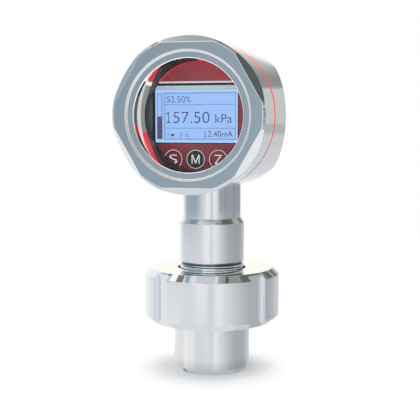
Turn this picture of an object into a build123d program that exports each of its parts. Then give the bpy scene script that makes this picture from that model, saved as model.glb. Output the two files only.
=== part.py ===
from build123d import *
from math import cos, radians, sin, tan
import os

# Pressure transmitter with a round display head on a union-nut process connection.
# Millimetres, +Z up. The origin is the centre of the weld sleeve's open lower end.
# The display looks along -Y, and the head is a drum whose axis runs along Y.

os.makedirs("parts", exist_ok=True)

# Clearances
turning_gap = 0.3  # radial, between pieces that turn or slide past each other
fitted_gap = 0.05  # radial, between pieces that are screwed or pressed together
stop_gap = 0.1  # axial, between the nut's shoulder and the connector's flange

# Weld sleeve, the threaded male half of the union
sleeve_radius = 21.8
sleeve_bore_radius = 19.0
sleeve_neck_height = 31.0
sleeve_bevel_height = 2.5
sleeve_bevel_depth = 1.05
male_thread_length = 13.0
male_edge = 1.2
male_rim = 2.7
seat_radius = 24.0
seat_depth = 5.0
seat_rim = 2.2
seal_width = 3.4
seal_depth = 1.8
seal_inner_radius = seat_radius + seat_rim
seal_outer_radius = seal_inner_radius + seal_width
male_thread_radius = seal_outer_radius + male_rim
male_top = sleeve_neck_height + male_thread_length

# Union nut
nut_height = 30.7
nut_top = 59.2
nut_plate = 8.5
nut_wall = 3.4  # between the thread and the bottom of a slot
nut_chamfer_width = 3.9
nut_chamfer_height = 3.5
nut_mouth_edge = 1.0
nut_bore_gap = 1.8  # radial, between the stem's thread and the nut's bore
slot_count = 4
slot_width = 10.9
slot_depth = 3.0
slot_angle = -33.2
nut_bottom = nut_top - nut_height
nut_thread_radius = male_thread_radius + turning_gap
nut_radius = nut_thread_radius + nut_wall + slot_depth

# Process connector: the flange that the nut pulls down onto the sleeve
flange_clearance = 2.4
flange_edge = 0.8
plug_length = 4.0
plug_rim = 3.2
diaphragm_thickness = 0.4
diaphragm_wave = 0.45
wave_count = 2
channel_radius = 1.0
flange_radius = nut_thread_radius - flange_clearance
flange_top = nut_top - nut_plate - stop_gap
plug_radius = seat_radius - turning_gap
plug_bottom = male_top - plug_length
diaphragm_radius = plug_radius - plug_rim

# Threaded stem and sensor body, turned in one piece
thread_radius = 17.8
thread_relief_depth = 0.9
thread_relief_height = 1.2
stem_floor = 5.0  # metal left under the stem in the connector
stem_bore_radius = 11.0
body_radius = 18.65
body_bottom = 62.9
body_shoulder = 85.5
body_top = 88.3
body_edge = 0.8
body_wall = 4.0
body_bore_bottom = 61.5
thread_relief_radius = thread_radius - thread_relief_depth
stem_bottom = plug_bottom + stem_floor
body_bore_radius = body_radius - body_wall

# Pressure sensor cell
cell_radius = 9.5
cell_floor = 1.5  # metal left under the cell in the connector
cell_height = 8.5
cell_head_height = 3.0
cell_head_radius = 6.0
groove_rise = 1.1
groove_height = 1.6
groove_depth = 1.3
retainer_height = 3.5
pin_radius = 0.4
pin_spacing = 6.0
pin_length = 7.0
pin_depth = 2.0
cell_bottom = plug_bottom + cell_floor
cell_shoulder = cell_bottom + cell_height
cell_top = cell_shoulder + cell_head_height
groove_bottom = cell_bottom + groove_rise

# Amplifier board in the sensor body
board_thickness = 1.6
amplifier_width = 20.0
amplifier_height = 22.5
pin_overlap = 2.5
amplifier_chip = (9.0, 1.8, 9.0)
amplifier_bottom = cell_top + pin_length - pin_overlap
amplifier_top = amplifier_bottom + amplifier_height

# Neck
neck_radius = 16.7
neck_bore_radius = 12.0
neck_spigot_length = 5.0
neck_top = 112.0

# Head
head_z = 146.2
head_front = -50.4
head_rear = 38.0
window_radius = 29.9
glass_seat = 4.6
retainer_step = 1.5
cover_step = 2.5
cover_wall = 3.4
seal_front = -25.7
seal_thickness = 2.2
spigot_length = 11.5
spigot_wall = 3.7
rear_wall = 5.0
rear_edge = 1.2
flat_start = 7.0  # y where the slanted side flats leave the drum's widest line
flat_slope = 2.4  # y gained for each millimetre in towards the axis
flat_wall = 4.0
glass_radius = window_radius + glass_seat
retainer_radius = glass_radius + retainer_step
cover_bore_radius = retainer_radius + cover_step
head_radius = cover_bore_radius + cover_wall
spigot_radius = cover_bore_radius - turning_gap
cavity_radius = spigot_radius - spigot_wall
housing_front = seal_front + seal_thickness
spigot_front = housing_front - spigot_length
cavity_rear = head_rear - rear_wall

# Front cover
cover_edge = 1.2
facet_count = 6
facet_cut = 3.7
facet_angle = 45.0
step_width = 5.3
step_depth = 1.3
step_bevel = 1.25
window_edge = 0.7
lip_depth = 3.1
gasket_thickness = 0.8
glass_thickness = 5.0
retainer_length = 6.0
spanner_slot_width = 4.0
spanner_slot_depth = 1.5
shroud_step = 0.1
shroud_edge = 1.2
facet_apothem = head_radius - facet_cut
step_radius = window_radius + step_width
lip_rear = head_front + lip_depth
gasket_rear = lip_rear + gasket_thickness
glass_rear = gasket_rear + glass_thickness
retainer_rear = glass_rear + retainer_length
shroud_radius = cavity_radius - turning_gap
shroud_inner_radius = window_radius - shroud_step

# Display
display_front = -24.0
display_shift = -2.6  # the module's middle lies left of the head's axis
label_clearance = 0.9
label_thickness = 1.0
lcd_width = 47.6
lcd_height = 29.2
lcd_recess = 0.2
lcd_depth = 4.0
lcd_border = 0.4
lcd_band = 4.4
lcd_ledge = 3.2
display_depth = 6.0
carrier_clearance = 0.5
carrier_wall = 1.1
carrier_lip = 0.6
key_names = ("s", "m", "z")
key_spacing = 12.9
key_inset = 6.2
key_radius = 4.2
key_flange = 0.7
key_flange_thickness = 0.5
key_flange_gap = 0.1
key_stem_radius = 1.4
key_travel = 0.5
switch_size = 4.4
switch_height = 2.2
plunger_radius = 1.1
plunger_height = 0.5
key_drop = window_radius - key_inset
label_radius = cavity_radius - label_clearance
label_rear = display_front + label_thickness
carrier_radius = cavity_radius - carrier_clearance
carrier_inner_radius = carrier_radius - carrier_wall
display_board_radius = carrier_radius - carrier_lip
display_board_front = display_front + display_depth
display_board_rear = display_board_front + board_thickness
shroud_rear = display_front - turning_gap

# Electronics behind the display
main_board_front = 6.0
main_board_clearance = 3.5
post_count = 3
post_circle = 22.0
post_radius = 3.0
pillar_circle = 27.5
pillar_angles = (90, 222, 318)
pillar_across = 5.0
screw_radius = 1.5
screw_head_radius = 2.7
screw_head_height = 2.0
screw_length = 7.0
screw_tip_gap = 1.0
driver_slot_width = 0.7
driver_slot_depth = 0.8
terminal_size = (20.0, 10.0, 11.0)
header_size = (18.0, 5.0)
header_centre = (5.0, 17.0)
converter_size = (12.0, 10.0)
converter_height = 8.0
chip_size = (10.0, 10.0)
chip_thickness = 1.6
capacitors = ((4.0, 11.0, (12, 6)), (3.2, 9.0, (-14, -8)))
plug_size = (9.0, 5.0, 7.0)
plug_rise = 29.0
lead_radius = 1.2
lead_bend_radius = 20.0
lead_start_length = 14.0
lead_end_length = 8.0
main_board_radius = cavity_radius - main_board_clearance
main_board_rear = main_board_front + board_thickness

# Electrical connector on the rear wall
coupling_radius = 6.0
coupling_length = 9.1
coupling_edge = 0.5
hex_apothem = 9.5
hex_thickness = 4.0
gland_radius = 8.0
gland_length = 9.0
socket_radius = 4.35
socket_depth = 7.5
o_ring_thickness = 0.9
o_ring_width = 1.0
locknut_apothem = 10.5
locknut_thickness = 3.5
contact_count = 4
contact_circle = 3.0
contact_radius = 0.5
contact_length = 5.5
insert_length = 8.0
wire_radius = 0.6
hex_front = head_rear + o_ring_thickness
hex_rear = hex_front + hex_thickness
coupling_end = hex_rear + coupling_length
socket_floor = coupling_end - socket_depth

# Frames of reference
head_axis = Axis((0, 0, head_z), (0, 1, 0))
head_profile = Plane(origin=(0, 0, head_z), x_dir=(0, 1, 0), z_dir=(1, 0, 0))


def head_plane(y):
    # A plane across the head's axis, seen from behind: local x is +X and extrusion runs to +Y
    return Plane(origin=(0, y, head_z), x_dir=(1, 0, 0), z_dir=(0, 1, 0))


def turn_stem(points, mode=Mode.ADD):
    # Revolve a (radius, height) outline about the vertical axis
    with BuildSketch(Plane.XZ) as profile:
        with BuildLine():
            Polyline(*points, close=True)
        make_face()
    revolve(profile.sketch, axis=Axis.Z, mode=mode)


def turn_head(points, mode=Mode.ADD):
    # Revolve a (y, radius) outline about the head's axis
    with BuildSketch(head_profile) as profile:
        with BuildLine():
            Polyline(*points, close=True)
        make_face()
    revolve(profile.sketch, axis=head_axis, mode=mode)


def disc(radius, y_from, y_to, mode=Mode.ADD, centre=(0, 0)):
    # A round plate or hole across the head's axis; centre is (x, height above the axis)
    with BuildSketch(head_plane(y_from)) as profile:
        with Locations((centre[0], -centre[1])):
            Circle(radius)
    extrude(profile.sketch, amount=y_to - y_from, mode=mode)


def block(width, height, y_from, y_to, mode=Mode.ADD, centre=(0, 0)):
    # A rectangular block or pocket across the head's axis
    with BuildSketch(head_plane(y_from)) as profile:
        with Locations((centre[0], -centre[1])):
            Rectangle(width, height)
    extrude(profile.sketch, amount=y_to - y_from, mode=mode)


def on_circle(radius, angles):
    # Points on a circle about the head's axis, as (x, height above the axis)
    return [(radius * cos(radians(angle)), radius * sin(radians(angle))) for angle in angles]


# Weld sleeve
with BuildPart() as weld_sleeve:
    turn_stem([
        (sleeve_bore_radius, 0),
        (sleeve_radius - sleeve_bevel_depth, 0),
        (sleeve_radius, sleeve_bevel_height),
        (sleeve_radius, sleeve_neck_height),
        (male_thread_radius - male_edge, sleeve_neck_height),
        (male_thread_radius, sleeve_neck_height + male_edge),
        (male_thread_radius, male_top - male_edge),
        (male_thread_radius - male_edge, male_top),
        (seal_outer_radius + fitted_gap, male_top),
        (seal_outer_radius + fitted_gap, male_top - seal_depth),
        (seal_inner_radius - fitted_gap, male_top - seal_depth),
        (seal_inner_radius - fitted_gap, male_top),
        (seat_radius, male_top),
        (seat_radius, male_top - seat_depth),
        (sleeve_bore_radius, male_top - seat_depth),
    ])
weld_sleeve.part.label = "weld_sleeve"
export_step(weld_sleeve.part, "parts/weld_sleeve.step")

# Process seal in the sleeve's groove
with BuildPart() as process_seal:
    turn_stem([
        (seal_inner_radius, male_top - seal_depth),
        (seal_outer_radius, male_top - seal_depth),
        (seal_outer_radius, male_top),
        (seal_inner_radius, male_top),
    ])
process_seal.part.label = "process_seal"
export_step(process_seal.part, "parts/process_seal.step")

# Slotted union nut
with BuildPart() as union_nut:
    turn_stem([
        (nut_thread_radius + nut_mouth_edge, nut_bottom),
        (nut_radius - nut_chamfer_width, nut_bottom),
        (nut_radius, nut_bottom + nut_chamfer_height),
        (nut_radius, nut_top - nut_chamfer_height),
        (nut_radius - nut_chamfer_width, nut_top),
        (thread_radius + nut_bore_gap, nut_top),
        (thread_radius + nut_bore_gap, nut_top - nut_plate),
        (nut_thread_radius, nut_top - nut_plate),
        (nut_thread_radius, nut_bottom + nut_mouth_edge),
    ])
    with BuildSketch(Plane.XY.offset(nut_bottom)):
        with PolarLocations(nut_radius, slot_count, start_angle=slot_angle):
            Rectangle(2 * slot_depth, slot_width)
    extrude(amount=nut_height, mode=Mode.SUBTRACT)
union_nut.part.label = "union_nut"
export_step(union_nut.part, "parts/union_nut.step")

# Process connector
with BuildPart() as process_connector:
    turn_stem([
        (channel_radius, plug_bottom + diaphragm_thickness),
        (diaphragm_radius, plug_bottom + diaphragm_thickness),
        (diaphragm_radius, plug_bottom),
        (plug_radius, plug_bottom),
        (plug_radius, male_top),
        (flange_radius - flange_edge, male_top),
        (flange_radius, male_top + flange_edge),
        (flange_radius, flange_top),
        (thread_radius + fitted_gap, flange_top),
        (thread_radius + fitted_gap, stem_bottom),
        (cell_radius + fitted_gap, stem_bottom),
        (cell_radius + fitted_gap, cell_bottom),
        (channel_radius, cell_bottom),
    ])
process_connector.part.label = "process_connector"
export_step(process_connector.part, "parts/process_connector.step")

# Isolating diaphragm, flush with the connector's lower face and gently corrugated
wave_width = (diaphragm_radius - 2 * channel_radius) / (2 * wave_count)
with BuildPart() as isolating_diaphragm:
    wave_edge = [
        (channel_radius + wave_width * n, plug_bottom - (diaphragm_wave if n % 2 else 0))
        for n in range(2 * wave_count + 1)
    ]
    lower = [(0, plug_bottom)] + wave_edge + [(diaphragm_radius - fitted_gap, plug_bottom)]
    upper = [(r, z + diaphragm_thickness) for r, z in reversed(lower)]
    turn_stem(lower + upper)
isolating_diaphragm.part.label = "isolating_diaphragm"
export_step(isolating_diaphragm.part, "parts/isolating_diaphragm.step")

# Sensor body with the threaded stem, which has a thread relief under the body
with BuildPart() as sensor_body:
    turn_stem([
        (stem_bore_radius, stem_bottom),
        (thread_radius, stem_bottom),
        (thread_radius, body_bottom - thread_relief_height - thread_relief_depth),
        (thread_relief_radius, body_bottom - thread_relief_height),
        (thread_relief_radius, body_bottom),
        (body_radius - body_edge, body_bottom),
        (body_radius, body_bottom + body_edge),
        (body_radius, body_shoulder),
        (neck_radius, body_top),
        (body_bore_radius, body_top),
        (body_bore_radius, body_bore_bottom),
        (stem_bore_radius, body_bore_bottom),
    ])
sensor_body.part.label = "sensor_body"
export_step(sensor_body.part, "parts/sensor_body.step")

# Pressure sensor cell: a sealed steel capsule with an O-ring groove
with BuildPart() as sensor_cell:
    turn_stem([
        (0, cell_bottom),
        (cell_radius, cell_bottom),
        (cell_radius, groove_bottom),
        (cell_radius - groove_depth, groove_bottom),
        (cell_radius - groove_depth, groove_bottom + groove_height),
        (cell_radius, groove_bottom + groove_height),
        (cell_radius, cell_shoulder),
        (cell_head_radius, cell_shoulder),
        (cell_head_radius, cell_top),
        (0, cell_top),
    ])
    with BuildSketch(Plane.XY.offset(cell_top)):
        with GridLocations(pin_spacing, board_thickness + 2 * pin_radius, 2, 2):
            Circle(pin_radius)
    extrude(amount=-pin_depth, mode=Mode.SUBTRACT)
sensor_cell.part.label = "sensor_cell"
export_step(sensor_cell.part, "parts/sensor_cell.step")

# O-ring of the cell
with BuildPart() as cell_seal:
    turn_stem([
        (cell_radius - groove_depth, groove_bottom),
        (cell_radius + fitted_gap, groove_bottom),
        (cell_radius + fitted_gap, groove_bottom + groove_height),
        (cell_radius - groove_depth, groove_bottom + groove_height),
    ])
    chamfer(cell_seal.edges(), length=groove_depth / 4)
cell_seal.part.label = "cell_seal"
export_step(cell_seal.part, "parts/cell_seal.step")

# Threaded ring that holds the cell down
with BuildPart() as cell_retainer:
    turn_stem([
        (cell_head_radius + turning_gap, cell_shoulder),
        (stem_bore_radius - fitted_gap, cell_shoulder),
        (stem_bore_radius - fitted_gap, cell_shoulder + retainer_height),
        (cell_head_radius + turning_gap, cell_shoulder + retainer_height),
    ])
cell_retainer.part.label = "cell_retainer"
export_step(cell_retainer.part, "parts/cell_retainer.step")

# Sealed pins of the cell, soldered along both faces of the amplifier board
with BuildPart() as cell_pins:
    with BuildSketch(Plane.XY.offset(cell_top - pin_depth)):
        with GridLocations(pin_spacing, board_thickness + 2 * pin_radius, 2, 2):
            Circle(pin_radius)
    extrude(amount=pin_depth + pin_length)
cell_pins.part.label = "cell_pins"
export_step(cell_pins.part, "parts/cell_pins.step")

# Amplifier board, upright in the body
chip_width, chip_depth, chip_height = amplifier_chip
amplifier_middle = (amplifier_bottom + amplifier_top) / 2
with BuildPart() as amplifier_board:
    with Locations((0, 0, amplifier_middle)):
        Box(amplifier_width, board_thickness, amplifier_top - amplifier_bottom)
    with Locations((0, (board_thickness + chip_depth) / 2, amplifier_middle)):
        Box(chip_width, chip_depth, chip_height)
amplifier_board.part.label = "amplifier_board"
export_step(amplifier_board.part, "parts/amplifier_board.step")

# Neck tube with a spigot into the body
with BuildPart() as neck_tube:
    turn_stem([
        (neck_bore_radius, body_top - neck_spigot_length),
        (body_bore_radius - fitted_gap, body_top - neck_spigot_length),
        (body_bore_radius - fitted_gap, body_top),
        (neck_radius, body_top),
        (neck_radius, neck_top),
        (neck_bore_radius, neck_top),
    ])
neck_tube.part.label = "neck_tube"
export_step(neck_tube.part, "parts/neck_tube.step")


def side_wedge(inset):
    # Plan outline of the drum between the slanted side flats, moved in by inset
    slope_length = (1 + flat_slope**2) ** 0.5
    start = flat_start - inset * slope_length
    half_width = head_radius - (2 * head_radius - start) / flat_slope
    outline = [
        (-head_radius, head_front),
        (head_radius, head_front),
        (head_radius, start),
        (half_width, 2 * head_radius),
        (-half_width, 2 * head_radius),
        (-head_radius, start),
    ]
    return outline


# Space inside the rear housing, which follows the slanted flats
with BuildPart() as cavity:
    disc(cavity_radius, spigot_front, cavity_rear)
    with BuildSketch(Plane.XY.offset(head_z - head_radius)):
        with BuildLine():
            Polyline(*side_wedge(flat_wall), close=True)
        make_face()
    extrude(amount=2 * head_radius, mode=Mode.INTERSECT)

# Rear housing
with BuildPart() as rear_housing:
    turn_head([
        (spigot_front, 0),
        (spigot_front, spigot_radius),
        (housing_front, spigot_radius),
        (housing_front, head_radius),
        (head_rear - rear_edge, head_radius),
        (head_rear, head_radius - rear_edge),
        (head_rear, 0),
    ])
    with BuildSketch(Plane.XY.offset(head_z - head_radius)):
        with BuildLine():
            Polyline(*side_wedge(0), close=True)
        make_face()
    extrude(amount=2 * head_radius, mode=Mode.INTERSECT)
    add(cavity.part, mode=Mode.SUBTRACT)
    disc(gland_radius + fitted_gap, cavity_rear - board_thickness, head_rear, mode=Mode.SUBTRACT)
    with BuildSketch(Plane.XY.offset(head_z - head_radius)) as neck_hole:
        Circle(neck_radius + fitted_gap)
    extrude(neck_hole.sketch, amount=neck_top - head_z + head_radius, mode=Mode.SUBTRACT)
    with BuildSketch(Plane.XY.offset(neck_top)) as lead_hole:
        Circle(neck_bore_radius)
    extrude(lead_hole.sketch, amount=head_z - neck_top, mode=Mode.SUBTRACT)
rear_housing.part.label = "rear_housing"
export_step(rear_housing.part, "parts/rear_housing.step")

# Cover seal, the ring that shows between cover and housing
with BuildPart() as cover_seal:
    turn_head([
        (seal_front, cover_bore_radius),
        (seal_front, head_radius),
        (housing_front, head_radius),
        (housing_front, cover_bore_radius),
    ])
cover_seal.part.label = "cover_seal"
export_step(cover_seal.part, "parts/cover_seal.step")

# Front cover: a turned cap with six slanted facets milled round its rim
facet_growth = (seal_front - head_front) * tan(radians(facet_angle))
step_floor = head_front + step_depth
with BuildPart() as front_cover:
    turn_head([
        (head_front, step_radius),
        (head_front, head_radius - cover_edge),
        (head_front + cover_edge, head_radius),
        (seal_front, head_radius),
        (seal_front, cover_bore_radius),
        (retainer_rear, cover_bore_radius),
        (retainer_rear, retainer_radius + fitted_gap),
        (glass_rear, retainer_radius + fitted_gap),
        (glass_rear, glass_radius + fitted_gap),
        (lip_rear, glass_radius + fitted_gap),
        (lip_rear, window_radius),
        (step_floor + window_edge, window_radius),
        (step_floor, window_radius + window_edge),
        (step_floor, step_radius - step_bevel),
    ])
    with BuildSketch(head_plane(head_front)) as facet_front:
        RegularPolygon(facet_apothem, facet_count, major_radius=False)
    with BuildSketch(head_plane(seal_front)) as facet_rear:
        RegularPolygon(facet_apothem + facet_growth, facet_count, major_radius=False)
    loft([facet_front.sketch, facet_rear.sketch], ruled=True, mode=Mode.INTERSECT)
front_cover.part.label = "front_cover"
export_step(front_cover.part, "parts/front_cover.step")

# Gasket between the cover's lip and the window glass
with BuildPart() as window_gasket:
    turn_head([
        (lip_rear, window_radius),
        (lip_rear, glass_radius),
        (gasket_rear, glass_radius),
        (gasket_rear, window_radius),
    ])
window_gasket.part.label = "window_gasket"
export_step(window_gasket.part, "parts/window_gasket.step")

# Window glass
with BuildPart() as window_glass:
    disc(glass_radius, gasket_rear, glass_rear)
window_glass.part.label = "window_glass"
export_step(window_glass.part, "parts/window_glass.step")

# Threaded ring that clamps the glass, with two spanner slots
with BuildPart() as glass_retainer:
    turn_head([
        (glass_rear, window_radius),
        (glass_rear, retainer_radius),
        (retainer_rear, retainer_radius),
        (retainer_rear, window_radius),
    ])
    block(
        2 * retainer_radius,
        spanner_slot_width,
        retainer_rear - spanner_slot_depth,
        retainer_rear,
        mode=Mode.SUBTRACT,
    )
glass_retainer.part.label = "glass_retainer"
export_step(glass_retainer.part, "parts/glass_retainer.step")

# Dark shroud behind the retainer, which reaches back to the display
with BuildPart() as window_shroud:
    turn_head([
        (retainer_rear + shroud_edge, shroud_inner_radius),
        (shroud_rear, shroud_inner_radius),
        (shroud_rear, shroud_radius),
        (retainer_rear, shroud_radius),
        (retainer_rear, shroud_inner_radius + shroud_edge),
    ])
window_shroud.part.label = "window_shroud"
export_step(window_shroud.part, "parts/window_shroud.step")

# Display layout, as (x, height above the head's axis)
lcd_centre = (display_shift, 0)
frame_left = display_shift - lcd_width / 2 - lcd_ledge
frame_right = display_shift + lcd_width / 2 + lcd_border
frame_low = -lcd_height / 2 - lcd_border
frame_high = lcd_height / 2 + lcd_band
frame_centre = ((frame_left + frame_right) / 2, (frame_low + frame_high) / 2)
key_centres = [(display_shift + key_spacing * n, -key_drop) for n in (-1, 0, 1)]

# Frame of the display module, trimmed to the shroud's circle
with BuildPart() as lcd_frame:
    block(
        frame_right - frame_left,
        frame_high - frame_low,
        display_front,
        display_board_front,
        centre=frame_centre,
    )
    disc(shroud_inner_radius, display_front, display_board_front, mode=Mode.INTERSECT)
    block(
        lcd_width,
        lcd_height,
        display_front,
        display_front + lcd_recess + lcd_depth,
        mode=Mode.SUBTRACT,
        centre=lcd_centre,
    )
lcd_frame.part.label = "lcd_frame"
export_step(lcd_frame.part, "parts/lcd_frame.step")

# Display glass
with BuildPart() as lcd_glass:
    block(
        lcd_width - fitted_gap,
        lcd_height - fitted_gap,
        display_front + lcd_recess,
        display_front + lcd_recess + lcd_depth,
        centre=lcd_centre,
    )
    disc(
        shroud_inner_radius - lcd_border,
        display_front,
        display_board_front,
        mode=Mode.INTERSECT,
    )
lcd_glass.part.label = "lcd_glass"
export_step(lcd_glass.part, "parts/lcd_glass.step")

# Label plate with the display opening and the key holes
with BuildPart() as label_opening:
    block(
        frame_right - frame_left + 2 * fitted_gap,
        frame_high - frame_low + 2 * fitted_gap,
        display_front,
        label_rear,
        centre=frame_centre,
    )
    disc(shroud_inner_radius + fitted_gap, display_front, label_rear, mode=Mode.INTERSECT)
with BuildPart() as label_plate:
    disc(label_radius, display_front, label_rear)
    add(label_opening.part, mode=Mode.SUBTRACT)
    for centre in key_centres:
        disc(key_radius + turning_gap, display_front, label_rear, Mode.SUBTRACT, centre)
label_plate.part.label = "label_plate"
export_step(label_plate.part, "parts/label_plate.step")

# Carrier ring between the label plate and the display board
with BuildPart() as display_carrier:
    turn_head([
        (label_rear, carrier_inner_radius),
        (label_rear, carrier_radius),
        (display_board_rear, carrier_radius),
        (display_board_rear, display_board_radius + fitted_gap),
        (display_board_front, display_board_radius + fitted_gap),
        (display_board_front, carrier_inner_radius),
    ])
display_carrier.part.label = "display_carrier"
export_step(display_carrier.part, "parts/display_carrier.step")

# Display board
pillar_places = on_circle(pillar_circle, pillar_angles)
with BuildPart() as display_board:
    disc(display_board_radius, display_board_front, display_board_rear)
    for place in pillar_places:
        disc(screw_radius, display_board_front, display_board_rear, Mode.SUBTRACT, place)
display_board.part.label = "display_board"
export_step(display_board.part, "parts/display_board.step")

# Short-travel switches behind the keys
with BuildPart() as key_switches:
    for centre in key_centres:
        switch_front = display_board_front - switch_height
        block(switch_size, switch_size, switch_front, display_board_front, Mode.ADD, centre)
        disc(plunger_radius, switch_front - plunger_height, switch_front, Mode.ADD, centre)
key_switches.part.label = "key_switches"
export_step(key_switches.part, "parts/key_switches.step")

# Key caps, each held behind the label plate by its flange
flange_front = label_rear + key_flange_gap
flange_rear = flange_front + key_flange_thickness
stem_end = display_board_front - switch_height - plunger_height - key_travel - fitted_gap
for key_name, centre in zip(key_names, key_centres):
    with BuildPart() as key:
        disc(key_radius + turning_gap + key_flange, flange_front, flange_rear, Mode.ADD, centre)
        disc(key_radius, display_front, flange_front, Mode.ADD, centre)
        disc(key_stem_radius, flange_rear, stem_end, Mode.ADD, centre)
        disc(carrier_inner_radius - turning_gap, display_front, stem_end, Mode.INTERSECT)
    key.part.label = f"key_{key_name}"
    export_step(key.part, f"parts/key_{key_name}.step")

# Hexagonal pillars between the two boards
with BuildPart() as display_pillars:
    for place in pillar_places:
        with BuildSketch(head_plane(display_board_rear)) as pillar:
            with Locations((place[0], -place[1])):
                RegularPolygon(pillar_across / 2, 6, major_radius=False)
        extrude(pillar.sketch, amount=main_board_front - display_board_rear)
        for face_y, direction in ((display_board_rear, 1), (main_board_front, -1)):
            hole_end = face_y + direction * screw_length
            disc(screw_radius, min(face_y, hole_end), max(face_y, hole_end), Mode.SUBTRACT, place)
display_pillars.part.label = "display_pillars"
export_step(display_pillars.part, "parts/display_pillars.step")


def screw(place, head_y, board):
    # A slotted pan-head screw from the front through a board of the given thickness
    seat = head_y + screw_head_height
    disc(screw_head_radius, head_y, seat, Mode.ADD, place)
    disc(screw_radius - fitted_gap, seat, seat + board + screw_length - screw_tip_gap, Mode.ADD, place)
    block(
        2 * screw_head_radius,
        driver_slot_width,
        head_y,
        head_y + driver_slot_depth,
        Mode.SUBTRACT,
        place,
    )


# Screws of the display board
with BuildPart() as display_screws:
    for place in pillar_places:
        screw(place, display_board_front - screw_head_height, board_thickness)
display_screws.part.label = "display_screws"
export_step(display_screws.part, "parts/display_screws.step")

# Main board
post_places = on_circle(post_circle, [360 / post_count * n for n in range(post_count)])
with BuildPart() as main_board:
    disc(main_board_radius, main_board_front, main_board_rear)
    for place in post_places:
        disc(screw_radius, main_board_front, main_board_rear, Mode.SUBTRACT, place)
main_board.part.label = "main_board"
export_step(main_board.part, "parts/main_board.step")

# Posts that carry the main board off the rear wall
with BuildPart() as board_posts:
    for place in post_places:
        disc(post_radius, main_board_rear, cavity_rear, Mode.ADD, place)
        post_hole_end = main_board_rear + screw_length
        disc(screw_radius, main_board_rear, post_hole_end, Mode.SUBTRACT, place)
board_posts.part.label = "board_posts"
export_step(board_posts.part, "parts/board_posts.step")

# Screws of the main board
with BuildPart() as board_screws:
    for place in post_places:
        screw(place, main_board_front - screw_head_height, board_thickness)
board_screws.part.label = "board_screws"
export_step(board_screws.part, "parts/board_screws.step")

# Components on the main board's front: a converter, a processor and two capacitors
with BuildPart() as board_components:
    block(*converter_size, main_board_front - converter_height, main_board_front, Mode.ADD, (-12, 3))
    block(*chip_size, main_board_front - chip_thickness, main_board_front, Mode.ADD, (4, -7))
    for radius, height, centre in capacitors:
        disc(radius, main_board_front - height, main_board_front, Mode.ADD, centre)
board_components.part.label = "board_components"
export_step(board_components.part, "parts/board_components.step")

# Pin header that joins the two boards electrically
with BuildPart() as board_header:
    block(*header_size, display_board_rear, main_board_front, Mode.ADD, header_centre)
board_header.part.label = "board_header"
export_step(board_header.part, "parts/board_header.step")

# Plug of the sensor lead on the main board
plug_width, plug_depth, plug_height = plug_size
plug_low = head_z - plug_rise
lead_y = main_board_front - plug_depth / 2
with BuildPart() as lead_plug:
    with Locations((0, lead_y, plug_low + plug_height / 2)):
        Box(plug_width, plug_depth, plug_height)
lead_plug.part.label = "lead_plug"
export_step(lead_plug.part, "parts/lead_plug.step")

# Sensor lead, from the amplifier board up the neck to its plug
lead_bend_low = amplifier_top + lead_start_length
lead_bend_high = plug_low - lead_end_length
with BuildPart() as sensor_lead:
    with BuildLine():
        FilletPolyline(
            (0, 0, amplifier_top),
            (0, 0, lead_bend_low),
            (0, lead_y, lead_bend_high),
            (0, lead_y, plug_low),
            radius=lead_bend_radius,
        )
    with BuildSketch(Plane.XY.offset(amplifier_top)):
        Circle(lead_radius)
    sweep()
sensor_lead.part.label = "sensor_lead"
export_step(sensor_lead.part, "parts/sensor_lead.step")

# Terminal block on the main board's rear
with BuildPart() as terminal_block:
    block(terminal_size[0], terminal_size[1], main_board_rear, main_board_rear + terminal_size[2])
terminal_block.part.label = "terminal_block"
export_step(terminal_block.part, "parts/terminal_block.step")

# Shell of the electrical connector
with BuildPart() as connector_shell:
    turn_head([
        (head_rear - gland_length, socket_radius),
        (head_rear - gland_length, gland_radius),
        (hex_front, gland_radius),
        (hex_front, coupling_radius),
        (coupling_end - coupling_edge, coupling_radius),
        (coupling_end, coupling_radius - coupling_edge),
        (coupling_end, socket_radius),
    ])
    with BuildSketch(head_plane(hex_front)) as hexagon:
        RegularPolygon(hex_apothem, 6, major_radius=False)
        Circle(socket_radius, mode=Mode.SUBTRACT)
    extrude(hexagon.sketch, amount=hex_thickness)
connector_shell.part.label = "connector_shell"
export_step(connector_shell.part, "parts/connector_shell.step")

# Insulating insert with holes for the contacts
contact_places = on_circle(contact_circle, [360 / contact_count * (n + 0.5) for n in range(contact_count)])
insert_front = socket_floor - insert_length
with BuildPart() as connector_insert:
    disc(socket_radius - fitted_gap, insert_front, socket_floor)
    for place in contact_places:
        disc(contact_radius, insert_front, socket_floor, Mode.SUBTRACT, place)
connector_insert.part.label = "connector_insert"
export_step(connector_insert.part, "parts/connector_insert.step")

# Contact pins
with BuildPart() as contact_pins:
    for place in contact_places:
        disc(contact_radius, insert_front, socket_floor + contact_length, Mode.ADD, place)
contact_pins.part.label = "contact_pins"
export_step(contact_pins.part, "parts/contact_pins.step")

# O-ring under the connector's hexagon
with BuildPart() as connector_seal:
    turn_head([
        (head_rear, gland_radius + fitted_gap),
        (head_rear, gland_radius + fitted_gap + o_ring_width),
        (hex_front, gland_radius + fitted_gap + o_ring_width),
        (hex_front, gland_radius + fitted_gap),
    ])
connector_seal.part.label = "connector_seal"
export_step(connector_seal.part, "parts/connector_seal.step")

# Locknut inside the rear wall
with BuildPart() as connector_nut:
    with BuildSketch(head_plane(cavity_rear - locknut_thickness)):
        RegularPolygon(locknut_apothem, 6, major_radius=False)
        Circle(gland_radius + fitted_gap, mode=Mode.SUBTRACT)
    extrude(amount=locknut_thickness)
connector_nut.part.label = "connector_nut"
export_step(connector_nut.part, "parts/connector_nut.step")

# Wires from the contacts to the terminal block
with BuildPart() as connector_wires:
    for place in contact_places:
        disc(wire_radius, main_board_rear + terminal_size[2], insert_front, Mode.ADD, place)
connector_wires.part.label = "connector_wires"
export_step(connector_wires.part, "parts/connector_wires.step")
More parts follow.
